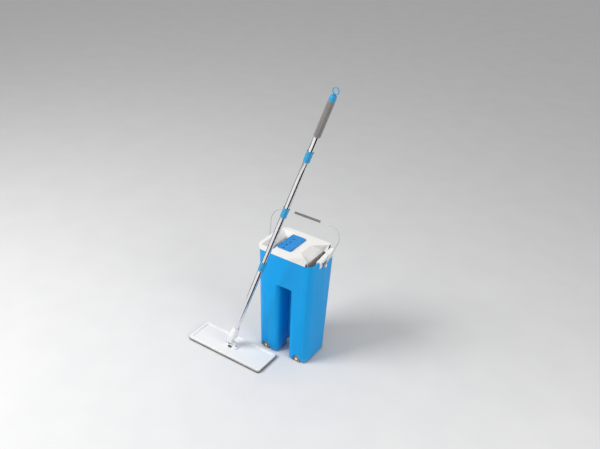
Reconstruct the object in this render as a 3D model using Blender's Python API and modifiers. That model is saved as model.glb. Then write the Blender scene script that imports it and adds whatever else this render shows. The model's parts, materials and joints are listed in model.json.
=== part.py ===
"""Flat mop and two-tank bucket with a wringer insert, as separate named parts.

Metres, +Z up. +X is the squeezing side, -Y is the front, where the mop stands.
The sizes below are taken from the floor under the middle of the bucket. At the end
everything moves together, so that the origin is under the middle of the mop head.
Run with: blender --background --python part.py
"""
import math

import bmesh
import bpy
from mathutils import Matrix, Vector

# Driving sizes of the bucket
TOP_HALF = (0.1105, 0.0810)        # half length and half depth at the rim
FOOT_HALF = (0.1020, 0.0710)       # the same at the foot
FOOT_Z = 0.006                     # underside of the legs
RIM_Z = 0.4305                     # top of the wall, under the insert
SPOUT_Z = 0.4225                   # the lower wall at the two pouring corners
WALL = 0.003
CORNER = 0.028
CHANNEL_X = 0.006                  # middle of the gap between the two tanks
CHANNEL_HALF = 0.0235              # its half width
CHANNEL_TOP = 0.305
MOUTH = 0.014                      # rounding of the legs' inner edges
RIB_HALF = 0.002
RIB_FOOT_Z = 0.052
GAP = 0.0003                       # clearance between parts that touch

# Drain plug, in the inner wall of the wash tank
DRAIN_X = CHANNEL_X - CHANNEL_HALF
DRAIN_Y = -0.003
DRAIN_Z = 0.0200

# Wheels
WHEEL_X = 0.0665
WHEEL_R = 0.0135
WHEEL_FACE_Y = 0.0698
WHEEL_WIDTH = 0.0145
ARCH_R = 0.0165
POCKET_BACK_Y = 0.050
AXLE_R = 0.0025

# Wringer insert
LID_TOP = 0.434
SKIRT_Z = 0.4255
LID_HALF = (0.1140, 0.0842)
LID_END_X = 0.087                  # free end of the insert beside the pouring corners
PLATE = 0.0025
NECK_Z = 0.410                     # foot of the two funnels
CHUTE_FOOT_Z = 0.385
STRIP_X = -0.0205
STRIP_HALF = (0.0275, 0.0495)

# Squeeze jaw on the right wall, its top falling towards the front
JAW_FRONT_Y = -0.029
JAW_BACK_Y = 0.061
JAW_SEAT_Z = 0.4275                # wall under the jaw, at its rear end
JAW_FALL = 0.155                   # drop for each unit of depth
JAW_SCREW = (-0.0125, 0.4118)      # depth and height of its screw

# Carrying handle
PIVOT_Z = 0.400
BAIL_X = 0.1180                    # half width at the pivots
BAIL_WIDE = 0.1375                 # half width at the bends
BAIL_REACH = 0.1330
BAIL_LEAN = math.radians(-27.0)
BAIL_R = 0.0026
BAIL_BEND = 0.045

# Mop
HEAD_X = -0.165
HEAD_Y = -0.146
HEAD_HALF = (0.160, 0.055)
PAD_TOP = 0.0065
PLATE_FOOT = 0.0081
PLATE_TOP = 0.0146
PANEL_Z = 0.0121                   # floor of the plate's sunk panel
PITCH_Z = 0.0280                   # height of the lower joint pin
ROLL_RISE = 0.0170                 # the upper pin above the lower one
PITCH = math.radians(1.0)          # the pole leans forward by this
ROLL = math.radians(19.5)          # and sideways by this
FLANGE_HALF = (0.028, 0.017)
SCREW_X = 0.0235                   # the foot's two screws, from its middle
TUBE_R = 0.0090
TUBE_BORE = 0.0084
SLEEVE_BORE = TUBE_R + GAP
COUPLING_R = 0.0108
COUPLING_HALF = 0.019
GRIP_R = 0.0106
JOINS = (0.395, 0.643, 0.868)      # middles of the couplings along the pole
TUBE_START = 0.030
GRIP_SPAN = (0.941, 1.065)
CAP_TOP = 1.083
LOOP_R = 0.0105
LOOP_WIRE = 0.0013

ROUND = 24                         # sides of most round parts


def clear_scene():
    """Remove everything that the start-up file holds."""
    for obj in list(bpy.data.objects):
        bpy.data.objects.remove(obj, do_unlink=True)


def collection(name):
    """Return a new collection linked to the scene."""
    group = bpy.data.collections.new(name)
    bpy.context.scene.collection.children.link(group)
    return group


clear_scene()
PARTS = collection("flat_mop_and_bucket")
CUTTERS = collection("cutters")


def plastic(name, colour, roughness=0.35, metallic=0.0):
    """Make one Principled material."""
    material = bpy.data.materials.new(name)
    material.use_nodes = True
    shader = material.node_tree.nodes["Principled BSDF"]
    shader.inputs["Base Color"].default_value = (*colour, 1.0)
    shader.inputs["Roughness"].default_value = roughness
    shader.inputs["Metallic"].default_value = metallic
    return material


BLUE = plastic("blue_plastic", (0.015, 0.305, 0.756), 0.28)
DEEP_BLUE = plastic("strip_blue", (0.013, 0.255, 0.680), 0.35)
COUPLING_BLUE = plastic("coupling_blue", (0.045, 0.352, 0.645), 0.35)
IVORY = plastic("ivory_plastic", (0.831, 0.807, 0.760), 0.40)
WHITE = plastic("white_plastic", (0.855, 0.855, 0.855), 0.35)
GREY = plastic("grey_plastic", (0.30, 0.29, 0.27), 0.50)
DARK = plastic("dark_plastic", (0.05, 0.05, 0.05), 0.45)
GRIP_GREY = plastic("grip_grey", (0.172, 0.162, 0.150), 0.70)
RUBBER = plastic("scraper_rubber", (0.12, 0.12, 0.12), 0.75)
STEEL = plastic("polished_steel", (0.78, 0.78, 0.79), 0.14, 1.0)
FIBRE = plastic("microfibre", (0.42, 0.42, 0.43), 0.95)
HOOK = plastic("hook_tape", (0.10, 0.10, 0.11), 0.90)


def put(obj, group, material=None):
    """Move an object into one collection and give it its material."""
    for other in list(obj.users_collection):
        other.objects.unlink(obj)
    group.objects.link(obj)
    if material is not None:
        obj.data.materials.clear()
        obj.data.materials.append(material)
    return obj


def hide_cutter(obj):
    """Keep a Boolean operand out of the render."""
    put(obj, CUTTERS)
    obj.hide_render = True
    obj.display_type = "WIRE"
    return obj


def mesh_object(name, mesh_builder):
    """Turn a finished bmesh into an object."""
    mesh = bpy.data.meshes.new(name)
    bmesh.ops.recalc_face_normals(mesh_builder, faces=mesh_builder.faces)
    if mesh_builder.calc_volume(signed=True) < 0:
        bmesh.ops.reverse_faces(mesh_builder, faces=mesh_builder.faces)
    mesh_builder.to_mesh(mesh)
    mesh_builder.free()
    obj = bpy.data.objects.new(name, mesh)
    bpy.context.scene.collection.objects.link(obj)
    return obj


def block(name, foot, top, z_foot, z_top, radius=0.0, segments=4):
    """Make an upright block between two rectangles (x0, x1, y0, y1), its corners rounded."""
    builder = bmesh.new()
    bmesh.ops.create_cube(builder, size=1.0)
    for vert in builder.verts:
        upper = vert.co.z > 0
        span = top if upper else foot
        vert.co.x = span[1] if vert.co.x > 0 else span[0]
        vert.co.y = span[3] if vert.co.y > 0 else span[2]
        vert.co.z = z_top if upper else z_foot
    if radius > 0:
        upright = [e for e in builder.edges if abs(e.verts[0].co.z - e.verts[1].co.z) > 1e-6]
        bmesh.ops.bevel(builder, geom=upright, offset=radius, segments=segments,
                        affect="EDGES", profile=0.5)
    return mesh_object(name, builder)


def box(name, x_span, y_span, z_span, radius=0.0, segments=3):
    """Make a straight block from its three spans."""
    span = (*x_span, *y_span)
    return block(name, span, span, z_span[0], z_span[1], radius, segments)


def round_bar(name, radius, half_length, location, axis="Z", sides=ROUND, end_radius=None):
    """Make a cylinder or cone whose middle is at location and which lies along axis."""
    builder = bmesh.new()
    last = radius if end_radius is None else end_radius
    bmesh.ops.create_cone(builder, cap_ends=True, cap_tris=False, segments=sides,
                          radius1=radius, radius2=last, depth=2 * half_length)
    turn = {"X": Matrix.Rotation(math.pi / 2, 4, "Y"),
            "Y": Matrix.Rotation(-math.pi / 2, 4, "X"),
            "Z": Matrix.Identity(4)}[axis]
    builder.transform(Matrix.Translation(location) @ turn)
    return mesh_object(name, builder)


def flat_solid(name, outline, half_thickness, axis="Z", offset=0.0):
    """Extrude a closed outline; axis Z keeps it flat, axis Y stands it up in X and Z."""
    curve = bpy.data.curves.new(name, "CURVE")
    curve.dimensions = "2D"
    curve.fill_mode = "BOTH"
    curve.extrude = half_thickness
    spline = curve.splines.new("POLY")
    spline.points.add(len(outline) - 1)
    for point, place in zip(spline.points, outline):
        point.co = (place[0], place[1], 0.0, 1.0)
    spline.use_cyclic_u = True
    curve_object = bpy.data.objects.new(name + "_outline", curve)
    bpy.context.scene.collection.objects.link(curve_object)
    mesh = bpy.data.meshes.new_from_object(curve_object.evaluated_get(
        bpy.context.evaluated_depsgraph_get()))
    bpy.data.objects.remove(curve_object, do_unlink=True)
    builder = bmesh.new()
    builder.from_mesh(mesh)
    bmesh.ops.remove_doubles(builder, verts=builder.verts, dist=1e-6)
    if axis == "Y":
        builder.transform(Matrix.Rotation(math.pi / 2, 4, "X"))
        builder.transform(Matrix.Translation((0.0, offset, 0.0)))
    elif axis == "X":
        builder.transform(Matrix(((0, 0, 1, offset), (1, 0, 0, 0), (0, 1, 0, 0), (0, 0, 0, 1))))
    else:
        builder.transform(Matrix.Translation((0.0, 0.0, offset)))
    return mesh_object(name, builder)


def arc(centre, radius, start, end, steps):
    """List points on an arc, with angles in degrees."""
    points = []
    for index in range(steps + 1):
        angle = math.radians(start + (end - start) * index / steps)
        points.append((centre[0] + radius * math.cos(angle), centre[1] + radius * math.sin(angle)))
    return points


def turned(name, profile, sides=ROUND):
    """Turn a closed profile of (radius, height) points about Z."""
    builder = bmesh.new()
    verts = [builder.verts.new((radius, 0.0, height)) for radius, height in profile]
    for index, vert in enumerate(verts):
        following = verts[(index + 1) % len(verts)]
        if vert.co.x > 0 or following.co.x > 0:
            builder.edges.new((vert, following))
    mesh = bpy.data.meshes.new(name)
    builder.to_mesh(mesh)
    builder.free()
    obj = bpy.data.objects.new(name, mesh)
    bpy.context.scene.collection.objects.link(obj)
    screw = obj.modifiers.new("turn", "SCREW")
    screw.steps = sides
    screw.render_steps = sides
    screw.use_merge_vertices = True
    screw.merge_threshold = 1e-5
    return obj


def boolean(target, tool, operation):
    """Add one exact Boolean and hide its operand."""
    modifier = target.modifiers.new(operation.lower(), "BOOLEAN")
    modifier.operation = operation
    modifier.solver = "EXACT"
    modifier.object = tool
    hide_cutter(tool)
    return target


def cut(target, *tools):
    """Take solids away from a part."""
    for tool in tools:
        boolean(target, tool, "DIFFERENCE")
    return target


def join(target, *tools):
    """Add solids to a part."""
    for tool in tools:
        boolean(target, tool, "UNION")
    return target


def smooth(obj):
    """Shade a round piece smooth."""
    for face in obj.data.polygons:
        face.use_smooth = True
    return obj


def around(half, grow=0.0, centre_x=0.0):
    """Give the rectangle of a centred block, grown on every side."""
    return (centre_x - half[0] - grow, centre_x + half[0] + grow, -half[1] - grow, half[1] + grow)


def half_at(z):
    """Give the bucket's outer half sizes at a height."""
    share = (z - FOOT_Z) / (RIM_Z - FOOT_Z)
    return tuple(foot + (top - foot) * share for foot, top in zip(FOOT_HALF, TOP_HALF))


def tapered(name, z_foot, z_top, grow):
    """Make a solid that follows the bucket's taper between two heights."""
    return block(name, around(half_at(z_foot), grow), around(half_at(z_top), grow),
                 z_foot, z_top, CORNER + grow, 6)


def channel(name, grow):
    """Make the gap between the tanks, front to back, with rounded mouths and roof."""
    centre_x = CHANNEL_HALF + MOUTH
    centre_y = FOOT_HALF[1] - MOUTH
    bend = MOUTH - grow
    right = arc((centre_x, -centre_y), bend, 258, 180, 4) + arc((centre_x, centre_y), bend, 180, 102, 4)
    reach = 0.020
    right = [(right[0][0], right[0][1] - reach)] + right + [(right[-1][0], right[-1][1] + reach)]
    left = [(-x, y) for x, y in reversed(right)]
    outline = [(CHANNEL_X + x, y) for x, y in right + left]
    top = CHANNEL_TOP + grow
    foot = -0.020
    solid = flat_solid(name, outline, (top - foot) / 2, "Z", (top + foot) / 2)
    stretch = half_at(CHANNEL_TOP)[1] / FOOT_HALF[1]
    builder = bmesh.new()
    builder.from_mesh(solid.data)
    bmesh.ops.dissolve_limit(builder, angle_limit=0.01, verts=builder.verts, edges=builder.edges)
    for vert in builder.verts:
        if vert.co.z > 0:
            vert.co.y *= stretch
    roof = [e for e in builder.edges if min(v.co.z for v in e.verts) > 0]
    bmesh.ops.bevel(builder, geom=roof, offset=0.006, segments=2, affect="EDGES", profile=0.5)
    builder.to_mesh(solid.data)
    builder.free()
    return solid


def wheel_arch(name, x, side, grow, back_y):
    """Make the arched pocket of one wheel, open to the floor and to one face."""
    radius = ARCH_R + grow
    outline = arc((x, WHEEL_R), radius, 0, 180, 10) + [(x - radius, -0.010), (x + radius, -0.010)]
    outer_y = FOOT_HALF[1] + 0.020
    middle = side * (outer_y + back_y) / 2
    return flat_solid(name, outline, (outer_y - back_y) / 2, "Y", middle)


def fallen(obj):
    """Shear a solid down towards the front by the slope of the jaw."""
    drop = Matrix.Identity(4)
    drop[2][1] = JAW_FALL
    drop[2][3] = -JAW_FALL * JAW_BACK_Y
    obj.data.transform(drop)
    return obj


def scoop(name, left_x, left_half, right_half, grow, z_top):
    """Make the fan-shaped slope that widens and deepens towards the squeeze slot."""
    foot_half = right_half - 0.010
    corners = []
    for side in (-1, 1):
        corners += [(left_x - grow, side * (left_half + grow), z_top),
                    (LID_END_X, side * (right_half + grow), z_top),
                    (0.130, side * (right_half + grow), z_top),
                    (0.0720 - grow, side * (foot_half + grow), NECK_Z - grow),
                    (0.130, side * (foot_half + grow), NECK_Z - grow)]
    builder = bmesh.new()
    for corner in corners:
        builder.verts.new(corner)
    bmesh.ops.convex_hull(builder, input=builder.verts)
    return mesh_object(name, builder)


def wheel_places():
    """List the four wheels as (name, x, side), side -1 at the front."""
    return [("front_left", -WHEEL_X, -1), ("front_right", WHEEL_X, -1),
            ("rear_left", -WHEEL_X, 1), ("rear_right", WHEEL_X, 1)]


def bucket_body():
    """The blue shell: two tanks in hollow legs, joined above the gap by one open chamber."""
    body = tapered("bucket_body", FOOT_Z, RIM_Z, 0.0)
    cavity = tapered("cavity", FOOT_Z, RIM_Z + 0.010, -WALL)
    floor = FOOT_Z + WALL
    cut(cavity, box("cavity_floor", (-0.2, 0.2), (-0.2, 0.2), (-0.05, floor)))
    cut(cavity, channel("channel_in_cavity", WALL))
    for name, x, side in wheel_places():
        cut(cavity, wheel_arch("arch_wall_" + name, x, side, WALL, POCKET_BACK_Y - WALL))
        boss_y = side * (POCKET_BACK_Y - WALL - 0.005)
        cut(cavity, round_bar("boss_" + name, 0.006, 0.008, (x, boss_y, WHEEL_R), "Y", 16))
    cut(body, channel("channel_outside", 0.0), cavity)
    reach = CHANNEL_HALF + 0.001
    join(body, box("rib", (CHANNEL_X - reach, CHANNEL_X + reach), (-RIB_HALF, RIB_HALF),
                   (RIB_FOOT_Z, CHANNEL_TOP + 0.001)))
    for name, x, side in wheel_places():
        cut(body, wheel_arch("arch_" + name, x, side, 0.0, POCKET_BACK_Y))
        hole_y = side * (POCKET_BACK_Y - 0.004)
        cut(body, round_bar("axle_hole_" + name, AXLE_R + GAP, 0.0065, (x, hole_y, WHEEL_R), "Y", 16))
    for side in (-1, 1):
        join(body, round_bar("bail_boss", 0.008, 0.0030, (side * 0.1120, 0.0, PIVOT_Z), "X", 20))
        cut(body, round_bar("bail_hole", 0.0023, 0.0035, (side * 0.1130, 0.0, PIVOT_Z), "X", 16))
    for span in ((-0.10, JAW_FRONT_Y), (JAW_BACK_Y, 0.10)):
        cut(body, box("spout", (LID_END_X, 0.130), span, (SPOUT_Z, 0.45)))
    cut(body, fallen(box("jaw_seat", (LID_END_X, 0.130), (JAW_FRONT_Y - GAP, JAW_BACK_Y + GAP),
                         (JAW_SEAT_Z, 0.47))))
    cut(body, round_bar("jaw_pilot", 0.0014, 0.006, (0.1080, *JAW_SCREW), "X", 12))
    cut(body, round_bar("drain_hole", 0.0078, 0.004, (DRAIN_X - 0.0015, DRAIN_Y, DRAIN_Z), "X"))
    return put(body, PARTS, BLUE)


def wringer_lid():
    """The ivory insert: a skirted rim, a wash chute on the left, a slope to the squeeze slot."""
    lid = block("wringer_lid", around(LID_HALF), around(LID_HALF), SKIRT_Z, LID_TOP, 0.031, 6)
    grown = tapered("skirt_space", 0.400, RIM_Z + GAP, 0.0006)
    hollow = tapered("under_plate", 0.400, LID_TOP - PLATE, -0.0065)
    cut(lid, grown, hollow)
    thick = 0.0025
    bowl = (-0.1005, -0.0505, -0.0660, 0.0660)
    neck = (-0.0820, -0.0565, -0.0590, 0.0590)
    grow = (-thick, thick, -thick, thick)
    bowl_wall = tuple(a + b for a, b in zip(bowl, grow))
    neck_wall = tuple(a + b for a, b in zip(neck, grow))
    below_top = LID_TOP - 0.0010
    join(lid, block("pool_wall", neck_wall, bowl_wall, NECK_Z - thick, below_top, 0.006, 3))
    join(lid, block("wash_chute_wall", neck_wall, neck_wall, CHUTE_FOOT_Z, NECK_Z, 0.006, 3))
    join(lid, scoop("scoop_wall", 0.0380, 0.0300, 0.0700, thick, below_top))
    cut(lid, block("pool", neck, bowl, NECK_Z, LID_TOP + 0.0001, 0.004, 3))
    cut(lid, block("wash_chute", neck, neck, CHUTE_FOOT_Z - 0.010, NECK_Z + 0.001, 0.004, 3))
    cut(lid, scoop("scoop_inside", 0.0380, 0.0300, 0.0700, 0.0, LID_TOP + 0.0001))
    cut(lid, box("squeeze_slot", (0.0720, 0.130), (-0.0600, 0.0600), (CHUTE_FOOT_Z - 0.010, NECK_Z + 0.001)))
    join(lid, box("squeeze_wall", (0.0695, 0.0720), (-0.0620, 0.0620), (CHUTE_FOOT_Z, NECK_Z + 0.001)))
    cut(lid, box("lid_end", (LID_END_X, 0.140), (-0.1, 0.1), (0.37, 0.45)))
    return put(lid, PARTS, IVORY)


def centre_strip():
    """The blue cover between the two slots, with four slots of its own."""
    half_x, half_y = STRIP_HALF
    foot = LID_TOP + GAP
    strip = box("centre_strip", (STRIP_X - half_x, STRIP_X + half_x), (-half_y, half_y),
                (foot, foot + 0.0040), 0.005)
    for index in range(4):
        middle = -0.0435 + 0.0220 * index
        cut(strip, box("strip_slot", (STRIP_X - 0.0075, STRIP_X - 0.0035),
                       (middle - 0.0055, middle + 0.0055), (foot - 0.01, foot + 0.01)))
    return put(strip, PARTS, DEEP_BLUE)


def scrub_board():
    """The ribbed board inside the wash slot that scrubs the pad."""
    ridges = 9
    pitch = 0.0110
    face = -0.0600
    back = -0.0568
    outline = [(back, -0.0510), (back, 0.0510)]
    for index in range(ridges):
        centre = (face, 0.0440 - pitch * index)
        outline += arc(centre, 0.0028, 90, 270, 4)
    board = flat_solid("scrub_board", outline, 0.0110, "Z", 0.3980)
    return put(board, PARTS, DEEP_BLUE)


def squeeze_jaw():
    """The ivory jaw on the right wall: a falling top, an inner wall and a skirt with an arch."""
    outer = LID_HALF[0]
    span = (JAW_FRONT_Y, JAW_BACK_Y)
    jaw = fallen(box("squeeze_jaw", (0.0985, outer), span, (JAW_SEAT_Z + GAP, LID_TOP)))
    skirt_in = half_at(RIM_Z)[0] + 0.0006
    join(jaw, fallen(box("jaw_skirt", (skirt_in, outer), span, (0.4120, 0.4300))))
    join(jaw, fallen(block("jaw_wall", (0.0965, 0.0990, -0.0420, 0.0600), (0.0985, 0.1010, *span),
                           CHUTE_FOOT_Z + 0.0030, 0.4300)))
    arch = arc((0.004, 0.392), 0.022, -30, 210, 12)
    cut(jaw, flat_solid("jaw_arch", arch, 0.006, "X", skirt_in + 0.0055))
    cut(jaw, round_bar("jaw_screw_hole", 0.0014, 0.004, (outer, *JAW_SCREW), "X", 16))
    cut(jaw, round_bar("jaw_screw_recess", 0.0040, 0.002, (outer + 0.0002, *JAW_SCREW), "X"))
    return put(jaw, PARTS, IVORY)


def jaw_screw():
    """The small screw through the jaw's skirt into the wall."""
    depth, height = JAW_SCREW
    screw = round_bar("jaw_screw", 0.0036, 0.0007, (0.1132, depth, height), "X")
    join(screw, round_bar("jaw_screw_shank", 0.0010, 0.0024, (0.1102, depth, height), "X", 12))
    return put(screw, PARTS, DARK)


def scraper(name, root_x, tip_x, front_y, back_y):
    """One rubber lip of the squeeze slot, leaning down into it."""
    step = 0.0010
    lip = block(name, (tip_x - step, tip_x + step, front_y, back_y),
                (root_x - step, root_x + step, front_y, back_y), 0.3870, 0.4060)
    return put(lip, PARTS, RUBBER)


def bail_handle():
    """The thin white carrying handle with an eye at each end, leaning back."""
    reach = BAIL_REACH
    bend = BAIL_BEND
    path = [(BAIL_X, 0.0070)] + arc((BAIL_WIDE - bend, reach - bend), bend, 0, 90, 8)
    path += [(-x, z) for x, z in reversed(path)]
    curve = bpy.data.curves.new("bail_handle", "CURVE")
    curve.dimensions = "3D"
    curve.bevel_depth = BAIL_R
    curve.bevel_resolution = 2
    curve.use_fill_caps = True
    spline = curve.splines.new("POLY")
    spline.points.add(len(path) - 1)
    for point, place in zip(spline.points, path):
        point.co = (place[0], 0.0, place[1], 1.0)
    outline = bpy.data.objects.new("bail_outline", curve)
    bpy.context.scene.collection.objects.link(outline)
    mesh = bpy.data.meshes.new_from_object(outline.evaluated_get(
        bpy.context.evaluated_depsgraph_get()))
    bpy.data.objects.remove(outline, do_unlink=True)
    builder = bmesh.new()
    builder.from_mesh(mesh)
    bmesh.ops.remove_doubles(builder, verts=builder.verts, dist=1e-6)
    handle = smooth(mesh_object("bail_handle", builder))
    for side in (-1, 1):
        place = (side * BAIL_X, 0.0, 0.0)
        join(handle, round_bar("bail_eye", 0.0075, 0.0022, place, "X", 20))
        cut(handle, round_bar("bail_eye_hole", 0.0025, 0.010, place, "X", 16))
    for tool in [m.object for m in handle.modifiers]:
        tool.parent = handle
    handle.location = (0.0, 0.0, PIVOT_Z)
    handle.rotation_euler = (BAIL_LEAN, 0.0, 0.0)
    return put(handle, PARTS, WHITE)


def bail_grip(handle):
    """The grey sleeve on the middle of the handle."""
    bore = BAIL_R + GAP
    length = 0.052
    profile = [(0.0042, 0.050), (0.0042, -0.050), (0.0036, -length), (bore, -length),
               (bore, length), (0.0036, length)]
    grip = smooth(turned("bail_grip", profile, 16))
    grip.parent = handle
    grip.location = (0.0, 0.0, BAIL_REACH)
    grip.rotation_euler = (0.0, math.pi / 2, 0.0)
    return put(grip, PARTS, GREY)


def bail_pin(name, side):
    """The headed pin that holds one eye of the handle to its boss."""
    pin = round_bar(name, 0.0020, 0.0052, (side * 0.1159, 0.0, PIVOT_Z), "X", 16)
    join(pin, round_bar(name + "_head", 0.0055, 0.0008, (side * 0.1213, 0.0, PIVOT_Z), "X", 20))
    return put(pin, PARTS, WHITE)


def wheel(name, x, side):
    """One small wheel with its outer face flush with the leg."""
    outer = WHEEL_WIDTH / 2
    bore = AXLE_R + GAP
    shoulder = WHEEL_R - 0.0010
    profile = [(shoulder, outer), (WHEEL_R, outer - 0.0010), (WHEEL_R, 0.0010 - outer), (shoulder, -outer),
               (bore, -outer), (bore, outer)]
    body = smooth(turned("wheel_" + name, profile, 28))
    body.rotation_euler = (math.pi / 2, 0.0, 0.0)
    body.location = (x, side * (WHEEL_FACE_Y - outer), WHEEL_R)
    return put(body, PARTS, GREY)


def axle(name, x, side):
    """The pin of one wheel, pressed into the leg, with a cap that keeps the wheel on."""
    inner = POCKET_BACK_Y - 0.0095
    outer = WHEEL_FACE_Y + GAP
    pin = round_bar("axle_" + name, AXLE_R, (outer - inner) / 2 + 0.0005,
                    (x, side * ((outer + inner) / 2 + 0.0005), WHEEL_R), "Y", 16)
    join(pin, round_bar("axle_cap", 0.0050, 0.0006, (x, side * (outer + 0.0006), WHEEL_R), "Y", 20))
    return put(pin, PARTS, WHITE)


def drain_plug():
    """The white plug in the wash tank's inner wall, pulled out sideways to empty it."""
    face = DRAIN_X + 0.0030
    plug = round_bar("drain_plug", 0.0105, 0.0016, (face + 0.0016, DRAIN_Y, DRAIN_Z), "X")
    join(plug, round_bar("drain_shank", 0.0064, 0.0050, (face - 0.0040, DRAIN_Y, DRAIN_Z), "X"))
    join(plug, box("drain_tab", (face + 0.0025, face + 0.0085), (DRAIN_Y - 0.0075, DRAIN_Y + 0.0075),
                   (DRAIN_Z - 0.0015, DRAIN_Z + 0.0015)))
    return put(plug, PARTS, WHITE)


def drain_seal():
    """The rubber ring under the plug's flange."""
    profile = arc((0.0088, 0.0), 0.0012, 0, -315, 7)
    seal = smooth(turned("drain_seal", profile, 20))
    seal.rotation_euler = (0.0, math.pi / 2, 0.0)
    seal.location = (DRAIN_X + 0.0015, DRAIN_Y, DRAIN_Z)
    return put(seal, PARTS, RUBBER)


def mop_plate():
    """The white plate of the mop head, with a raised border round a sunk panel."""
    half_x, half_y = HEAD_HALF
    plate = box("mop_plate", (HEAD_X - half_x, HEAD_X + half_x), (HEAD_Y - half_y, HEAD_Y + half_y),
                (PLATE_FOOT, PLATE_TOP), 0.009)
    border = 0.010
    cut(plate, box("panel", (HEAD_X - half_x + border, HEAD_X + half_x - border),
                   (HEAD_Y - half_y + border, HEAD_Y + half_y - border), (PANEL_Z, 0.05), 0.006))
    return put(plate, PARTS, WHITE)


def mop_pad():
    """The plain stand-in of the microfibre pad under the plate."""
    overhang = 0.002
    half_x, half_y = HEAD_HALF[0] + overhang, HEAD_HALF[1] + overhang
    pad = box("mop_pad", (HEAD_X - half_x, HEAD_X + half_x), (HEAD_Y - half_y, HEAD_Y + half_y),
              (0.0, PAD_TOP), 0.011)
    return put(pad, PARTS, FIBRE)


def hook_strip(name, offset):
    """One strip of hook tape between the plate and the pad."""
    strip = box(name, (HEAD_X - 0.145, HEAD_X + 0.145), (HEAD_Y + offset - 0.010, HEAD_Y + offset + 0.010),
                (PAD_TOP + GAP, PLATE_FOOT - GAP))
    return put(strip, PARTS, HOOK)


def joint_base():
    """The foot of the swivel joint: two ears for the lower pin on an oblong flange."""
    foot = PANEL_Z + GAP
    half_x, half_y = FLANGE_HALF
    base = box("joint_base", (HEAD_X - half_x, HEAD_X + half_x), (HEAD_Y - half_y, HEAD_Y + half_y),
               (foot, foot + 0.0040), 0.010, 4)
    for side in (-1, 1):
        centre = HEAD_X + side * 0.0150
        ear = [(-0.0100, foot + 0.002), (0.0100, foot + 0.002)] + arc((0.0, PITCH_Z), 0.0070, 0, 180, 8)
        ear_solid = flat_solid("joint_ear", [(HEAD_Y + y, z) for y, z in ear], 0.0024, "X", centre)
        join(base, ear_solid)
    cut(base, round_bar("pitch_bore", 0.0027, 0.030, (HEAD_X, HEAD_Y, PITCH_Z), "X", 16))
    for side in (-1, 1):
        cut(base, round_bar("screw_bore", 0.0023, 0.010, (HEAD_X + side * SCREW_X, HEAD_Y, foot), "Z", 16))
    cut(base, box("button_track", (HEAD_X - 0.0074, HEAD_X + 0.0074), (HEAD_Y - 0.030, HEAD_Y - 0.0068),
                  (foot + 0.0020, foot + 0.010)))
    return put(base, PARTS, WHITE)


def base_screw(name, side):
    """One screw that holds the joint's foot to the plate."""
    foot = PANEL_Z + GAP
    x = HEAD_X + side * SCREW_X
    screw = round_bar(name, 0.0036, 0.0007, (x, HEAD_Y, foot + 0.0050), "Z", 16)
    join(screw, round_bar("screw_shank", 0.0020, 0.0022, (x, HEAD_Y, foot + 0.0026), "Z", 12))
    return put(screw, PARTS, STEEL)


def lock_button():
    """The small dark slide in the foot that locks the joint upright."""
    foot = PANEL_Z + GAP
    button = box("lock_button", (HEAD_X - 0.0070, HEAD_X + 0.0070), (HEAD_Y - 0.0175, HEAD_Y - 0.0105),
                 (foot + 0.0023, foot + 0.0066), 0.0012, 2)
    return put(button, PARTS, DARK)


def pin_between(name, half_length, location, axis, parent=None):
    """One plain joint pin."""
    pin = round_bar(name, 0.0024, half_length, (0.0, 0.0, 0.0), axis, 16)
    pin.location = location
    pin.parent = parent
    return put(pin, PARTS, STEEL)


def joint_cross(frame):
    """The block between the two joint pins, with an eye across each way."""
    cross = round_bar("joint_cross", 0.0070, 0.0120, (0.0, 0.0, 0.0), "X", 20)
    upper = (0.0, 0.0, ROLL_RISE)
    join(cross, round_bar("upper_eye", 0.0070, 0.0098, upper, "Y", 20))
    join(cross, box("cross_web", (-0.0060, 0.0060), (-0.0060, 0.0060), (0.0, ROLL_RISE)))
    cut(cross, round_bar("lower_bore", 0.0027, 0.030, (0.0, 0.0, 0.0), "X", 16))
    cut(cross, round_bar("upper_bore", 0.0027, 0.030, upper, "Y", 16))
    for tool in [m.object for m in cross.modifiers]:
        tool.parent = cross
    cross.parent = frame
    return put(cross, PARTS, WHITE)


def pole_part(obj, frame, material):
    """Hang one solid, and its cutters, on the pole's own frame."""
    for modifier in obj.modifiers:
        if modifier.type == "BOOLEAN":
            modifier.object.parent = obj
    obj.parent = frame
    return put(obj, PARTS, material)


def joint_socket(frame):
    """The white tapered socket that takes the lowest tube, with a fork at its foot."""
    foot, top = 0.0190, 0.0640
    socket = round_bar("joint_socket", 0.0165, (top - foot) / 2, (0.0, 0.0, (top + foot) / 2), "Z",
                       ROUND, 0.0115)
    for side in (-1, 1):
        arm = arc((0.0, 0.0), 0.0070, 180, 360, 8) + [(0.0070, foot + 0.001), (-0.0070, foot + 0.001)]
        join(socket, flat_solid("fork_arm", arm, 0.0022, "Y", side * 0.0126))
    cut(socket, round_bar("fork_bore", 0.0027, 0.030, (0.0, 0.0, 0.0), "Y", 16))
    cut(socket, round_bar("tube_seat", SLEEVE_BORE, 0.0300, (0.0, 0.0, TUBE_START - GAP + 0.0300)))
    return pole_part(socket, frame, WHITE)


def tube(name, start, end, frame):
    """One thin steel tube of the pole."""
    profile = [(TUBE_R, end), (TUBE_R, start), (TUBE_BORE, start), (TUBE_BORE, end)]
    return pole_part(smooth(turned(name, profile)), frame, STEEL)


def coupling(name, middle, frame):
    """One blue sleeve between two tubes, with a web across its middle."""
    outer = COUPLING_R
    web = 0.0015
    half = COUPLING_HALF
    sleeve = turned(name, [(outer, half - 0.002), (outer, 0.002 - half), (outer - 0.001, -half),
                           (SLEEVE_BORE, -half), (SLEEVE_BORE, -web), (0.0, -web),
                           (0.0, web), (SLEEVE_BORE, web), (SLEEVE_BORE, half), (outer - 0.001, half)])
    sleeve.location = (0.0, 0.0, middle)
    return pole_part(smooth(sleeve), frame, COUPLING_BLUE)


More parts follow.
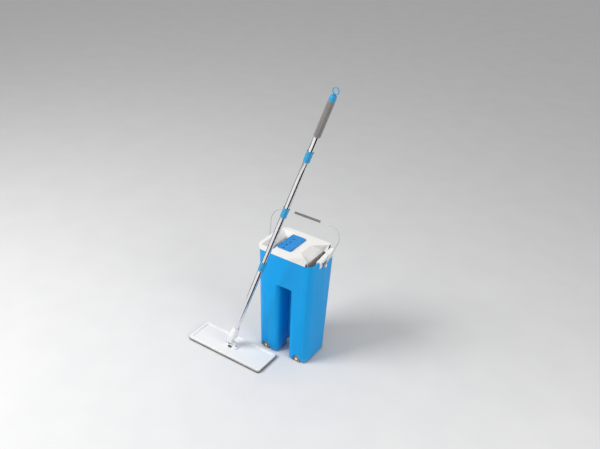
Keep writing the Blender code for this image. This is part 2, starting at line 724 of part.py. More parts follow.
def grip_sleeve(frame):
    """The soft grey sleeve at the top of the pole."""
    low, high = GRIP_SPAN
    lip = GRIP_R - 0.0006
    profile = [(lip, high), (GRIP_R, high - 0.0015), (GRIP_R, low + 0.0015), (lip, low),
               (SLEEVE_BORE, low), (SLEEVE_BORE, high)]
    return pole_part(smooth(turned("grip_sleeve", profile)), frame, GRIP_GREY)


def end_cap(frame):
    """The blue cap that closes the pole and carries the hanging loop."""
    foot = GRIP_SPAN[1] + GAP
    inner = TUBE_BORE - GAP
    cap = turned("end_cap", [(0.0, CAP_TOP), (0.0050, CAP_TOP), (0.0085, CAP_TOP - 0.0025),
                             (0.0103, CAP_TOP - 0.0080), (GRIP_R, foot + 0.0015), (GRIP_R - 0.0006, foot),
                             (inner, foot), (inner, foot - 0.012), (0.0, foot - 0.012)])
    cut(smooth(cap), round_bar("loop_bore", 0.0026, 0.0060, (0.0, 0.0, CAP_TOP - 0.0010), "Z", 16))
    return pole_part(cap, frame, COUPLING_BLUE)


def hanger_loop(frame):
    """The thin ring that hangs the mop up, on a stem that turns in the cap."""
    loop = bpy.ops.mesh.primitive_torus_add(major_segments=24, minor_segments=8, major_radius=LOOP_R,
                                            minor_radius=LOOP_WIRE, rotation=(math.pi / 2, 0.0, 0.0))
    assert loop == {"FINISHED"}
    ring = bpy.context.object
    ring.name = "hanger_loop"
    ring.data.transform(ring.matrix_world)
    ring.matrix_world = Matrix.Identity(4)
    ring.data.transform(Matrix.Translation((0.0, 0.0, LOOP_R)))
    join(smooth(ring), round_bar("loop_stem", 0.0022, 0.0035, (0.0, 0.0, -0.0028), "Z", 12))
    ring.location = (0.0, 0.0, CAP_TOP + 0.0018)
    return pole_part(ring, frame, WHITE)


def frame_empty(name, location, rotation, parent=None):
    """Add an empty that carries the parts of one moving body."""
    empty = bpy.data.objects.new(name, None)
    PARTS.objects.link(empty)
    empty.parent = parent
    empty.location = location
    empty.rotation_euler = rotation
    return empty


def build_bucket():
    """Make the bucket, its insert, handle, wheels and drain."""
    bucket_body()
    wringer_lid()
    centre_strip()
    scrub_board()
    squeeze_jaw()
    jaw_screw()
    scraper("lid_scraper", 0.0733, 0.0795, -0.0540, 0.0540)
    scraper("jaw_scraper", 0.0955, 0.0890, -0.0400, 0.0580)
    handle = bail_handle()
    bail_grip(handle)
    bail_pin("bail_pin_left", -1)
    bail_pin("bail_pin_right", 1)
    for name, x, side in wheel_places():
        wheel(name, x, side)
        axle(name, x, side)
    drain_plug()
    drain_seal()


def build_mop():
    """Make the mop head on the floor and the pole that leans from it."""
    mop_plate()
    mop_pad()
    hook_strip("hook_strip_front", -0.030)
    hook_strip("hook_strip_rear", 0.030)
    joint_base()
    base_screw("base_screw_left", -1)
    base_screw("base_screw_right", 1)
    lock_button()
    lower = frame_empty("pitch_frame", (HEAD_X, HEAD_Y, PITCH_Z), (PITCH, 0.0, 0.0))
    pole = frame_empty("pole_frame", (0.0, 0.0, ROLL_RISE), (0.0, ROLL, 0.0), lower)
    pin_between("pitch_pin", 0.0178, (HEAD_X, HEAD_Y, PITCH_Z), "X")
    pin_between("roll_pin", 0.0152, (0.0, 0.0, 0.0), "Y", pole)
    joint_cross(lower)
    joint_socket(pole)
    half_web = 0.0015 + GAP
    starts = [TUBE_START] + [middle + half_web for middle in JOINS]
    ends = [middle - half_web for middle in JOINS] + [GRIP_SPAN[1] - 0.001]
    for index, (start, end) in enumerate(zip(starts, ends)):
        tube("tube_%d" % (index + 1), start, end, pole)
    for index, middle in enumerate(JOINS):
        coupling("coupling_%d" % (index + 1), middle, pole)
    grip_sleeve(pole)
    end_cap(pole)
    hanger_loop(pole)


def move_origin():
    """Put the origin on the floor under the middle of the mop head."""
    for obj in bpy.data.objects:
        if obj.parent is None:
            obj.location += Vector((-HEAD_X, -HEAD_Y, 0.0))


build_bucket()
build_mop()
move_origin()
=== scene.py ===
import json
import math

import bmesh
import bpy
import numpy as np
from mathutils import Matrix, Vector


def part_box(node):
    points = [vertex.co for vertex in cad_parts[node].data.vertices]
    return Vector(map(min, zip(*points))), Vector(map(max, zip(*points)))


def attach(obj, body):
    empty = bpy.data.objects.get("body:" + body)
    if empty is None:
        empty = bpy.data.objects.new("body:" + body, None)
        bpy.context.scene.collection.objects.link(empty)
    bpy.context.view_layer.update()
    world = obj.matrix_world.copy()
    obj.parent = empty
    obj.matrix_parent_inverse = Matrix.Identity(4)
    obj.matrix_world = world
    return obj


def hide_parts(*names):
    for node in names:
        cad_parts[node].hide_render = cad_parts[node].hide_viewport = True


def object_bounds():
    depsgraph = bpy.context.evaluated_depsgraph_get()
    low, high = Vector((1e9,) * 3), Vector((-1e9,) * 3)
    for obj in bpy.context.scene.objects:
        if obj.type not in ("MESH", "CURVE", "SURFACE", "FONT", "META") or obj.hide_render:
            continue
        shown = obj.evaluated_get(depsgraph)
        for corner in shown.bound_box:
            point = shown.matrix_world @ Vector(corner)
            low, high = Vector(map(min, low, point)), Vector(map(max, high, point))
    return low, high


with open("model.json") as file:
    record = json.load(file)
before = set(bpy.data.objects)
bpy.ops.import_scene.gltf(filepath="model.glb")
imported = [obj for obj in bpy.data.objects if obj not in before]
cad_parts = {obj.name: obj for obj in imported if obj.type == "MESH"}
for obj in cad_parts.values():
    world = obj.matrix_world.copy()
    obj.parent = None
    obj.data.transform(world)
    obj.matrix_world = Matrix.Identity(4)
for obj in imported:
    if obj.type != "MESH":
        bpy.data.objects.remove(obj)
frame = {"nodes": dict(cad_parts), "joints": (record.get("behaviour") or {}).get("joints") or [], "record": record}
cad_box = [list(corner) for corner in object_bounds()]


# ---------------------------------------------------------------------------
# Bucket shell. One injection moulding of glossy blue polypropylene: two tanks
# in hollow legs with an open gap between them, joined by one chamber above.
# The wall is 3 mm thick and every edge is softly rounded by the mould.

body_of = {node: body for body, nodes in frame["record"]["behaviour"]["bodies"].items() for node in nodes}


def finished(node, name, edge, turn=28.0, segments=2, soft=None):
    """Merge a CAD node's loose triangles into flat faces and round its edges by `edge` metres.

    Edges that turn by more than `turn` degrees are rounded; all others are shaded as one curve.
    `soft` gives a box (low, high) and a width: edges inside the box are first blended that wide.
    """
    builder = bmesh.new()
    builder.from_mesh(frame["nodes"][node].data)
    bmesh.ops.remove_doubles(builder, verts=builder.verts, dist=2e-5)
    bmesh.ops.dissolve_limit(builder, angle_limit=math.radians(0.6), verts=builder.verts,
                             edges=builder.edges)
    mesh = bpy.data.meshes.new(name)
    builder.to_mesh(mesh)
    builder.free()
    mesh.shade_smooth()
    mesh.set_sharp_from_angle(angle=math.radians(turn))
    piece = bpy.data.objects.new(name, mesh)
    bpy.context.scene.collection.objects.link(piece)
    if soft:
        low, high, width = soft
        co = np.zeros(len(mesh.vertices) * 3, np.float32)
        mesh.vertices.foreach_get("co", co)
        co = co.reshape(-1, 3)
        ends = np.zeros(len(mesh.edges) * 2, np.int32)
        mesh.edges.foreach_get("vertices", ends)
        in_box = ((co >= np.array(low)) & (co <= np.array(high))).all(axis=1)
        inside = in_box[ends.reshape(-1, 2)].all(axis=1)
        weight = mesh.attributes.new("bevel_weight_edge", "FLOAT", "EDGE")
        weight.data.foreach_set("value", inside.astype(np.float32))
        blend = piece.modifiers.new("soft_slope", "BEVEL")
        blend.width, blend.segments, blend.limit_method = width, 6, "WEIGHT"
        blend.use_clamp_overlap = True
    if edge > 0:
        bevel = piece.modifiers.new("rounded_edges", "BEVEL")
        bevel.width = edge
        bevel.segments = segments
        bevel.limit_method = "ANGLE"
        bevel.angle_limit = math.radians(turn)
        bevel.use_clamp_overlap = True
        bevel.harden_normals = True
    return piece


def stand_in(piece, material, *nodes):
    """Give a piece its material; it then shows in place of CAD nodes and rides on their body."""
    piece.data.materials.clear()
    piece.data.materials.append(material)
    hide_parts(*nodes)
    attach(piece, body_of[nodes[0]])
    return piece


def add(tree, kind, values=None, **settings):
    """Add one shader node; a value that is a socket is linked, any other is set."""
    node = tree.nodes.new("ShaderNode" + kind)
    for key, value in settings.items():
        setattr(node, key, value)
    for socket, value in (values or {}).items():
        if isinstance(value, bpy.types.NodeSocket):
            tree.links.new(value, node.inputs[socket])
        else:
            node.inputs[socket].default_value = value
    return node


def maths(tree, operation, first, second=0.0):
    """Combine two values with one Math node."""
    return add(tree, "Math", {0: first, 1: second}, operation=operation).outputs[0]


def remap(tree, value, low, high, new_low=0.0, new_high=1.0):
    """Map a value from one range to another, smoothly and clamped."""
    node = add(tree, "MapRange", {0: value, 1: low, 2: high, 3: new_low, 4: new_high},
               interpolation_type="SMOOTHSTEP")
    return node.outputs[0]


def mix(tree, factor, first, second):
    """Mix two colours."""
    return add(tree, "Mix", {0: factor, 6: first, 7: second}, data_type="RGBA").outputs[2]


def new_group(name, inputs, outputs):
    """Start a shader node group with named inputs (with defaults) and outputs."""
    tree = bpy.data.node_groups.new(name, "ShaderNodeTree")
    kinds = {float: "NodeSocketFloat", tuple: "NodeSocketColor"}
    for label, value in inputs.items():
        socket = tree.interface.new_socket(name=label, in_out="INPUT", socket_type=kinds[type(value)])
        socket.default_value = value
    for label, kind in outputs.items():
        tree.interface.new_socket(name=label, in_out="OUTPUT", socket_type=kinds[kind])
    return tree, tree.nodes.new("NodeGroupInput"), tree.nodes.new("NodeGroupOutput")


# Moulded skin: broad faint tints, a fine mould grain, and floor dust on the lowest few centimetres.
moulded_skin, given, result = new_group(
    "moulded_skin",
    {"Colour": (1.0, 1.0, 1.0, 1.0), "Tint": (1.0, 1.0, 1.0, 1.0), "Patches": 7.0, "Grain": 1800.0,
     "Roughness": 0.4, "Spread": 0.1, "Dust": 0.0, "Dust height": 0.05},
    {"Colour": tuple, "Roughness": float, "Height": float})
place = add(moulded_skin, "TexCoord").outputs["Object"]
patches = add(moulded_skin, "TexNoise", {"Vector": place, "Scale": given.outputs["Patches"], "Detail": 2.0})
grain = add(moulded_skin, "TexNoise", {"Vector": place, "Scale": given.outputs["Grain"], "Detail": 2.0})
specks = add(moulded_skin, "TexNoise", {"Vector": place, "Scale": 60.0, "Detail": 6.0, "Roughness": 0.7})
height_above = add(moulded_skin, "SeparateXYZ", {0: place}).outputs["Z"]
low = maths(moulded_skin, "SUBTRACT", 1.0,
            maths(moulded_skin, "DIVIDE", height_above, given.outputs["Dust height"]))
dusty = maths(moulded_skin, "MULTIPLY", remap(moulded_skin, low, 0.0, 1.0),
              remap(moulded_skin, specks.outputs["Fac"], 0.38, 0.72))
dusty = maths(moulded_skin, "MULTIPLY", dusty, given.outputs["Dust"])
tinted = mix(moulded_skin, remap(moulded_skin, patches.outputs["Fac"], 0.32, 0.68),
             given.outputs["Colour"], given.outputs["Tint"])
tinted = mix(moulded_skin, dusty, tinted, (0.34, 0.32, 0.29, 1.0))
uneven = maths(moulded_skin, "SUBTRACT", patches.outputs["Fac"], 0.5)
uneven = maths(moulded_skin, "MULTIPLY", uneven, given.outputs["Spread"])
rough = maths(moulded_skin, "ADD", given.outputs["Roughness"], uneven)
rough = maths(moulded_skin, "ADD", rough, maths(moulded_skin, "MULTIPLY", dusty, 0.4))
for socket, value in (("Colour", tinted), ("Roughness", rough), ("Height", grain.outputs["Fac"])):
    moulded_skin.links.new(value, result.inputs[socket])

# Edge wear: where the surface bends outwards, broken up by noise.
edge_wear, given, result = new_group("edge_wear", {"Amount": 0.5}, {"Mask": float})
bend = add(edge_wear, "NewGeometry").outputs["Pointiness"]
place = add(edge_wear, "TexCoord").outputs["Object"]
broken = add(edge_wear, "TexNoise", {"Vector": place, "Scale": 160.0, "Detail": 5.0})
worn = maths(edge_wear, "MULTIPLY", remap(edge_wear, bend, 0.515, 0.60),
             remap(edge_wear, broken.outputs["Fac"], 0.35, 0.65))
edge_wear.links.new(maths(edge_wear, "MULTIPLY", worn, given.outputs["Amount"]), result.inputs["Mask"])

# Painted shade: where the surface bends inwards, into hollows and creases, it takes a darker copy of its own
# colour.
crease_shade, given, result = new_group("crease_shade", {"Amount": 0.5}, {"Mask": float})
bend = add(crease_shade, "NewGeometry").outputs["Pointiness"]
place = add(crease_shade, "TexCoord").outputs["Object"]
broken = add(crease_shade, "TexNoise", {"Vector": place, "Scale": 90.0, "Detail": 4.0})
crease_darkening = maths(crease_shade, "MULTIPLY", remap(crease_shade, bend, 0.40, 0.492, 1.0, 0.0),
                remap(crease_shade, broken.outputs["Fac"], 0.20, 0.60, 0.6, 1.0))
crease_shade.links.new(maths(crease_shade, "MULTIPLY", crease_darkening, given.outputs["Amount"]), result.inputs["Mask"])

# Scuffs: hairline curves where a noise field crosses its middle, kept only in some patches.
scuffs, given, result = new_group("scuffs", {"Scale": 14.0, "Amount": 0.5}, {"Mask": float})
place = add(scuffs, "TexCoord").outputs["Object"]
field = add(scuffs, "TexNoise", {"Vector": place, "Scale": given.outputs["Scale"], "Detail": 5.0,
                                 "Distortion": 1.2})
where = add(scuffs, "TexNoise", {"Vector": place, "Scale": 5.0, "Detail": 2.0})
off_line = maths(scuffs, "ABSOLUTE", maths(scuffs, "SUBTRACT", field.outputs["Fac"], 0.5))
line = remap(scuffs, off_line, 0.0, 0.006, 1.0, 0.0)
line = maths(scuffs, "MULTIPLY", line, remap(scuffs, where.outputs["Fac"], 0.5, 0.66))
scuffs.links.new(maths(scuffs, "MULTIPLY", line, given.outputs["Amount"]), result.inputs["Mask"])


def use(tree, group, **values):
    """Place a node group in a material, with its input values; _ in a name stands for a space."""
    node = tree.nodes.new("ShaderNodeGroup")
    node.node_tree = group
    for key, value in values.items():
        node.inputs[key.replace("_", " ")].default_value = value
    return node


def moulding(name, colour, tint, roughness, spread=0.10, grain=1800.0, bump=0.05, dust=0.0,
             dust_height=0.05, wear=0.25, worn_colour=None, shade_in_creases=0.3, **surface):
    """Make a moulded plastic or rubber from the four groups; `surface` holds plain shader values."""
    material = bpy.data.materials.new(name)
    material.use_nodes = True
    tree = material.node_tree
    shader = tree.nodes["Principled BSDF"]
    skin_node = use(tree, moulded_skin, Colour=(*colour, 1.0), Tint=(*tint, 1.0), Roughness=roughness,
                    Spread=spread, Grain=grain, Dust=dust, Dust_height=dust_height)
    wear_node = use(tree, edge_wear, Amount=wear)
    scuff_node = use(tree, scuffs, Amount=0.35)
    pale = worn_colour or tuple(0.35 + 0.65 * c for c in colour)
    base = mix(tree, wear_node.outputs["Mask"], skin_node.outputs["Colour"], (*pale, 1.0))
    # Painted shade: hollows and creases get a darker copy of the base colour.
    crease_shade_node = use(tree, crease_shade, Amount=shade_in_creases)
    base = mix(tree, crease_shade_node.outputs["Mask"], base, (*[0.45 * c for c in colour], 1.0))
    rough = maths(tree, "ADD", skin_node.outputs["Roughness"],
                  maths(tree, "MULTIPLY", scuff_node.outputs["Mask"], 0.35))
    tree.links.new(base, shader.inputs["Base Color"])
    tree.links.new(rough, shader.inputs["Roughness"])
    bump_node = add(tree, "Bump", {"Height": skin_node.outputs["Height"], "Strength": bump,
                                   "Distance": 0.0004})
    tree.links.new(bump_node.outputs["Normal"], shader.inputs["Normal"])
    for socket, value in surface.items():
        shader.inputs[socket.replace("_", " ")].default_value = value
    return material


# The specular level is low, because a strong gloss mirrors the pale room and washes out the blue.
shell_blue = moulding("shell_blue", (0.0030, 0.330, 0.755), (0.0028, 0.318, 0.735), 0.34, spread=0.04,
                      bump=0.03, dust=0.35, dust_height=0.035, wear=0.10, Specular_IOR_Level=0.14)
stand_in(finished("bucket_body", "bucket_shell", 0.0009, segments=3), shell_blue, "bucket_body")


# ---------------------------------------------------------------------------
# Wheels. Four small brown-grey rollers with a rubbery tread, set in arches in
# the legs. Each turns on a pin pressed into the leg, with a domed white cap.

def skin(name, points, wrap_rows=False, wrap_columns=False, turn=35.0):
    """Join a (rows, columns, 3) grid of points into a closed, outward-facing surface.

    The UV map holds the column as a share and the row's run along the profile in metres.
    """
    rows, columns = points.shape[:2]
    index = np.arange(rows * columns).reshape(rows, columns)
    middle = points.mean(axis=1)
    run = np.concatenate([[0.0], np.cumsum(np.linalg.norm(np.diff(
        np.vstack([points[:, 0], points[:1, 0]]), axis=0), axis=1))])
    if wrap_rows:
        index = np.vstack([index, index[:1]])
    if wrap_columns:
        index = np.hstack([index, index[:, :1]])
    high, wide = index.shape
    quads = np.stack([index[:-1, :-1], index[:-1, 1:], index[1:, 1:], index[1:, :-1]], axis=-1)
    u = np.broadcast_to(np.arange(wide) / max(columns, 1), (high, wide))
    v = np.broadcast_to(run[:high, None], (high, wide))
    uv = np.stack([u, v], axis=-1)
    corners = np.stack([uv[:-1, :-1], uv[:-1, 1:], uv[1:, 1:], uv[1:, :-1]], axis=2)
    mesh = bpy.data.meshes.new(name)
    mesh.from_pydata(points.reshape(-1, 3), [], quads.reshape(-1, 4).tolist())
    layer = mesh.uv_layers.new(name="surface")
    layer.data.foreach_set("uv", corners.reshape(-1).astype(np.float32))
    builder = bmesh.new()
    builder.from_mesh(mesh)
    bmesh.ops.remove_doubles(builder, verts=builder.verts, dist=1e-6)
    bmesh.ops.delete(builder, geom=[edge for edge in builder.edges if edge.is_wire], context="EDGES")
    bmesh.ops.recalc_face_normals(builder, faces=builder.faces)
    if builder.calc_volume(signed=True) < 0:
        bmesh.ops.reverse_faces(builder, faces=builder.faces)
    builder.to_mesh(mesh)
    builder.free()
    mesh.shade_smooth()
    mesh.set_sharp_from_angle(angle=math.radians(turn))
    piece = bpy.data.objects.new(name, mesh)
    bpy.context.scene.collection.objects.link(piece)
    return piece


def rounded(corners, radius, steps=5, closed=True):
    """Round each corner of a profile with a short parabola that starts and ends `radius` from it."""
    corners = np.array(corners, float)
    before, after = np.roll(corners, 1, axis=0), np.roll(corners, -1, axis=0)
    share = np.linspace(0.0, 1.0, steps)[None, :, None]

    def towards(other):
        way = other - corners
        length = np.maximum(np.linalg.norm(way, axis=1, keepdims=True), 1e-12)
        return corners + way / length * np.minimum(radius, length * 0.48)

    start, end = towards(before)[:, None], towards(after)[:, None]
    curve = (1 - share) ** 2 * start + 2 * share * (1 - share) * corners[:, None] + share ** 2 * end
    if not closed:
        ends = [corners[:1], curve[1:-1].reshape(-1, 2), corners[-1:]]
        return np.vstack(ends)
    return curve.reshape(-1, 2)


def placed(points, place):
    """Move points from a piece's own frame into the row frame."""
    matrix = np.array(place, float)
    return points @ matrix[:3, :3].T + matrix[:3, 3]


def lathe(name, profile, place, sides=72, closed=True, ripple=None, turn=35.0):
    """Turn a profile of (radius, height) about the Z axis of `place`.

    Point = (r cos a, r sin a, h), where ripple(a, h), if given, scales r.
    """
    angle = np.linspace(0.0, 2.0 * math.pi, sides, endpoint=False)[None, :]
    radius, height = profile[:, :1], profile[:, 1:2]
    if ripple is not None:
        radius = radius * ripple(angle, height)
    points = np.stack(np.broadcast_arrays(radius * np.cos(angle), radius * np.sin(angle), height), axis=-1)
    return skin(name, placed(points, place), wrap_rows=closed, wrap_columns=True, turn=turn)


def looking(origin, way, side):
    """Make a frame at origin whose Z axis is `way` and whose X axis is nearest to `side`."""
    z = Vector(way).normalized()
    x = (Vector(side) - Vector(side).dot(z) * z).normalized()
    y = z.cross(x)
    return Matrix(((x.x, y.x, z.x, origin[0]), (x.y, y.y, z.y, origin[1]),
                   (x.z, y.z, z.z, origin[2]), (0, 0, 0, 1)))


def extent(node, place):
    """Give a CAD node's lowest and highest corner in the frame `place`."""
    mesh = frame["nodes"][node].data
    co = np.zeros(len(mesh.vertices) * 3, np.float32)
    mesh.vertices.foreach_get("co", co)
    co = placed(co.reshape(-1, 3).astype(float), place.inverted())
    return co.min(axis=0), co.max(axis=0)


joints = {joint["name"]: joint for joint in frame["joints"]}
wheel_grey = moulding("wheel_grey", (0.300, 0.275, 0.235), (0.250, 0.228, 0.195), 0.58, bump=0.25,
                      grain=900.0, dust=0.5, dust_height=0.020, wear=0.3)
cap_white = moulding("cap_white", (0.80, 0.80, 0.79), (0.74, 0.74, 0.73), 0.34, bump=0.05,
                     dust=0.3, dust_height=0.02, wear=0.1)
wheel_bore, pin_shank, pin_cap = 0.0028, 0.0025, 0.0050
tread_blocks, tread_cut = 30, 0.010
for corner in ("front_left", "front_right", "rear_left", "rear_right"):
    outward = -1.0 if corner.startswith("front") else 1.0
    hub = looking(joints[corner + "_roll"]["pos_m"], (0.0, outward, 0.0), (1.0, 0.0, 0.0))
    low, high = extent("wheel_" + corner, hub)
    rim, half = high[0], high[2]
    boss = wheel_bore + 0.0026
    outline = rounded([(wheel_bore, half - 0.0012), (boss, half - 0.0012), (boss, half - 0.0024),
                       (rim - 0.0042, half - 0.0024), (rim - 0.0036, half), (rim - 0.0012, half - 0.0001),
                       (rim, half - 0.0018), (rim, 0.0020), (rim - 0.0006, 0.0015), (rim - 0.0006, -0.0015),
                       (rim, -0.0020), (rim, 0.0018 - half), (rim - 0.0012, -half), (wheel_bore, -half)],
                      0.0004)
    tread = lambda angle, height: 1.0 - tread_cut * (np.cos(angle * tread_blocks) > 0.82) * (
        abs(height) < half - 0.0022)
    stand_in(lathe("roller_" + corner, outline, hub, sides=120, ripple=tread), wheel_grey, "wheel_" + corner)
    low, high = extent("axle_" + corner, hub)
    pin = rounded([(0.0, high[2]), (0.0030, high[2] - 0.0001), (pin_cap, high[2] - 0.0006),
                   (pin_cap, high[2] - 0.0012), (pin_shank, high[2] - 0.0012), (pin_shank, low[2] + 0.0004),
                   (0.0021, low[2]), (0.0, low[2])], 0.0003, closed=False)
    stand_in(lathe("axle_pin_" + corner, pin, hub, sides=40, closed=False), cap_white, "axle_" + corner)


# ---------------------------------------------------------------------------
# Wringer insert. A warm white moulding that drops over the rim: a wash pool and
# its slot on the left, and a fan-shaped scoop down to the squeeze slot on the
# right. The jaw on the right wall is its own piece, held by a small screw.

insert_white = moulding("insert_white", (0.800, 0.790, 0.762), (0.770, 0.760, 0.730), 0.36, bump=0.09,
                        grain=1200.0, wear=0.12, worn_colour=(0.88, 0.87, 0.85),
                        Specular_IOR_Level=0.4)
lid_low, lid_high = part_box("wringer_lid")
scoop_low = (lid_high.x - 0.068, lid_low.y + 0.006, lid_high.z - 0.0235)
scoop_high = (lid_high.x + 0.001, lid_high.y - 0.006, lid_high.z + 0.001)
stand_in(finished("wringer_lid", "insert_top", 0.0010, segments=3, soft=(scoop_low, scoop_high, 0.006)),
         insert_white, "wringer_lid")
stand_in(finished("squeeze_jaw", "squeeze_jaw_cover", 0.0008, segments=3), insert_white, "squeeze_jaw")

strip_plastic = moulding("strip_plastic", (0.0040, 0.225, 0.600), (0.0038, 0.218, 0.585), 0.40, spread=0.05,
                         bump=0.10, grain=1400.0, wear=0.15, Specular_IOR_Level=0.20)
stand_in(finished("centre_strip", "cover_strip", 0.0008, segments=3), strip_plastic, "centre_strip")
stand_in(finished("scrub_board", "wash_board", 0.0004), strip_plastic, "scrub_board")

lip_rubber = moulding("lip_rubber", (0.330, 0.315, 0.295), (0.290, 0.275, 0.258), 0.66, bump=0.2,
                      grain=1500.0, wear=0.15)
stand_in(finished("lid_scraper", "insert_lip", 0.0006, segments=3), lip_rubber, "lid_scraper")
stand_in(finished("jaw_scraper", "jaw_lip", 0.0006, segments=3), lip_rubber, "jaw_scraper")


def screw_head(name, place, radius, rise, material, node, shank):
    """A domed head with a cross recess over a plain shank of (radius, length).

    On a polar grid the top is rise (1 - 0.75 (r/R)^2), less a pit wherever the point lies inside
    either bar of the cross. The skirt drops straight to the shank and the shank runs down.
    """
    sides, rings = 64, 26
    angle = np.linspace(0.0, 2.0 * math.pi, sides, endpoint=False)[None, :]
    r = radius * np.linspace(0.0, 1.0, rings)[:, None] ** 0.8
    x, y = r * np.cos(angle), r * np.sin(angle)
    top = rise * (1.0 - 0.75 * (r / radius) ** 2) + 0.0 * angle
    bar, reach = radius * 0.15, radius * 0.62
    inside = ((abs(x) < bar) & (abs(y) < reach)) | ((abs(y) < bar) & (abs(x) < reach))
    cap = np.stack([x, y, top - inside * rise * 0.55], axis=-1)
    rim = [(radius, 0.0), (shank[0], 0.0), (shank[0], -shank[1]), (0.0, -shank[1])]
    rest = np.stack([np.stack(np.broadcast_arrays(a * np.cos(angle[0]), a * np.sin(angle[0]), h), axis=-1)
                     for a, h in rim])
    piece = skin(name, placed(np.concatenate([cap, rest]), place), wrap_columns=True, turn=30.0)
    return stand_in(piece, material, node)


def drawn_metal(name, colour, tint, roughness, around, along, bump):
    """A bright metal with fine drawing lines that follow the piece's own UV map."""
    material = bpy.data.materials.new(name)
    material.use_nodes = True
    tree = material.node_tree
    shader = tree.nodes["Principled BSDF"]
    uv = add(tree, "UVMap", uv_map="surface").outputs["UV"]
    stretched = add(tree, "Mapping", {"Vector": uv, "Scale": (around, along, 1.0)}).outputs["Vector"]
    lines = add(tree, "TexNoise", {"Vector": stretched, "Scale": 1.0, "Detail": 3.0})
    smears = add(tree, "TexNoise", {"Vector": add(tree, "TexCoord").outputs["Object"], "Scale": 26.0,
                                    "Detail": 4.0})
    base = mix(tree, remap(tree, smears.outputs["Fac"], 0.35, 0.65), (*colour, 1.0), (*tint, 1.0))
    rough = maths(tree, "ADD", roughness, maths(tree, "MULTIPLY", lines.outputs["Fac"], 0.05))
    rough = maths(tree, "ADD", rough, maths(tree, "MULTIPLY", remap(
        tree, smears.outputs["Fac"], 0.50, 0.75), 0.06))
    bump_node = add(tree, "Bump", {"Height": lines.outputs["Fac"], "Strength": bump, "Distance": 0.0001})
    tree.links.new(base, shader.inputs["Base Color"])
    tree.links.new(rough, shader.inputs["Roughness"])
    tree.links.new(bump_node.outputs["Normal"], shader.inputs["Normal"])
    shader.inputs["Metallic"].default_value = 1.0
    return material


screw_radius, screw_rise = 0.0036, 0.0014
dark_screw = drawn_metal("dark_screw", (0.060, 0.058, 0.055), (0.035, 0.034, 0.033), 0.34, 40.0, 900.0, 0.1)
low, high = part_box("jaw_screw")
middle = (low + high) / 2
foot = high.x - screw_rise
screw_head("jaw_fixing", looking((foot, middle.y, middle.z), (1.0, 0.0, 0.0), (0.0, 1.0, 0.0)),
           screw_radius, screw_rise, dark_screw, "jaw_screw", (0.0010, 0.0046))


# ---------------------------------------------------------------------------
# Carrying handle. A thin white bar with an eye at each end, a soft grey sleeve
# on its middle, and a headed pin through each eye into the boss on the wall.

def carried(name, path, radii, place, sides=28, closed=False):
    """Carry a circle of the given radii along a flat path, kept square to it.

    Each ring is path + r (cos a * side + sin a * up). The path lies in the X-Z plane of `place`, so
    `up` is its Y axis all the way and `side` is square to both.
    """
    way = np.gradient(path, axis=0)
    if closed:
        way = np.roll(path, -1, axis=0) - np.roll(path, 1, axis=0)
    way /= np.linalg.norm(way, axis=1, keepdims=True)
    up = np.broadcast_to(np.array([0.0, 1.0, 0.0]), way.shape)
    side = np.cross(up, way)
    angle = np.linspace(0.0, 2.0 * math.pi, sides, endpoint=False)
    ring = (side[:, None] * np.cos(angle)[None, :, None] + up[:, None] * np.sin(angle)[None, :, None])
    points = path[:, None] + ring * np.asarray(radii, float).reshape(-1, 1, 1)
    return skin(name, placed(points, place), wrap_rows=closed, wrap_columns=True)


pivot = Vector(joints["handle_swing"]["pos_m"])
low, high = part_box("bail_grip")
grip_middle = (low + high) / 2
handle = looking(pivot, grip_middle - pivot, (1.0, 0.0, 0.0))
low, high = extent("bail_handle", handle)
eye_x, leg_start, bend, bar = 0.1180, 0.0070, 0.045, 0.0026
reach, wide = high[2] - bar, high[0] - bar
turn_angle = np.linspace(0.0, math.pi / 2, 24)
leg = np.linspace(0.0, 1.0, 30)[:-1, None]
leg = (1 - leg) * np.array([[eye_x, leg_start]]) + leg * np.array([[wide, reach - bend]])
corner = np.stack([wide - bend + bend * np.cos(turn_angle), reach - bend + bend * np.sin(turn_angle)], axis=1)
half_path = np.vstack([leg, corner])
across = np.linspace(half_path[-1, 0], -half_path[-1, 0], 30)[1:-1]
top = np.stack([across, np.full_like(across, reach)], axis=1)
path = np.vstack([half_path, top, half_path[::-1] * [-1, 1]])
path = np.stack([path[:, 0], np.zeros(len(path)), path[:, 1]], axis=1)
radii = np.full(len(path), bar)
# One more ring of no radius just past each end closes the bar.
path = np.vstack([path[:1], path, path[-1:]])
path[0, 2] -= 1e-5
path[-1, 2] -= 1e-5
radii = np.concatenate([[0.0], radii, [0.0]])
# The white bar and its eyes are painted mid grey, standing in for the shade they show.
bar_painted_shade = moulding("bar_painted_shade", (0.500, 0.515, 0.505), (0.450, 0.465, 0.458), 0.32, bump=0.05, wear=0.15)
stand_in(carried("handle_bar", path, radii, handle), bar_painted_shade, "bail_handle")
for side, label in ((-1, "left"), (1, "right")):
    eye_place = looking(pivot + Vector((side * eye_x, 0.0, 0.0)), (side, 0.0, 0.0), (0.0, 1.0, 0.0))
    eye = rounded([(0.0025, 0.0022), (0.0072, 0.0022), (0.0075, 0.0018), (0.0075, -0.0018),
                   (0.0072, -0.0022), (0.0025, -0.0022)], 0.0005)
    ring = lathe("handle_eye_" + label, eye, eye_place, sides=56)
    ring.data.materials.append(bar_painted_shade)
    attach(ring, body_of["bail_handle"])
    low, high = extent("bail_pin_" + label, eye_place)
    pin = rounded([(0.0, high[2] + 0.0004), (0.0030, high[2] + 0.0002), (0.0055, high[2] - 0.0008),
                   (0.0055, high[2] - 0.0015), (0.0020, high[2] - 0.0016), (0.0020, low[2] + 0.0003),
                   (0.0017, low[2]), (0.0, low[2])], 0.0003, closed=False)
    stand_in(lathe("handle_pin_" + label, pin, eye_place, sides=48, closed=False), cap_white,
             "bail_pin_" + label)

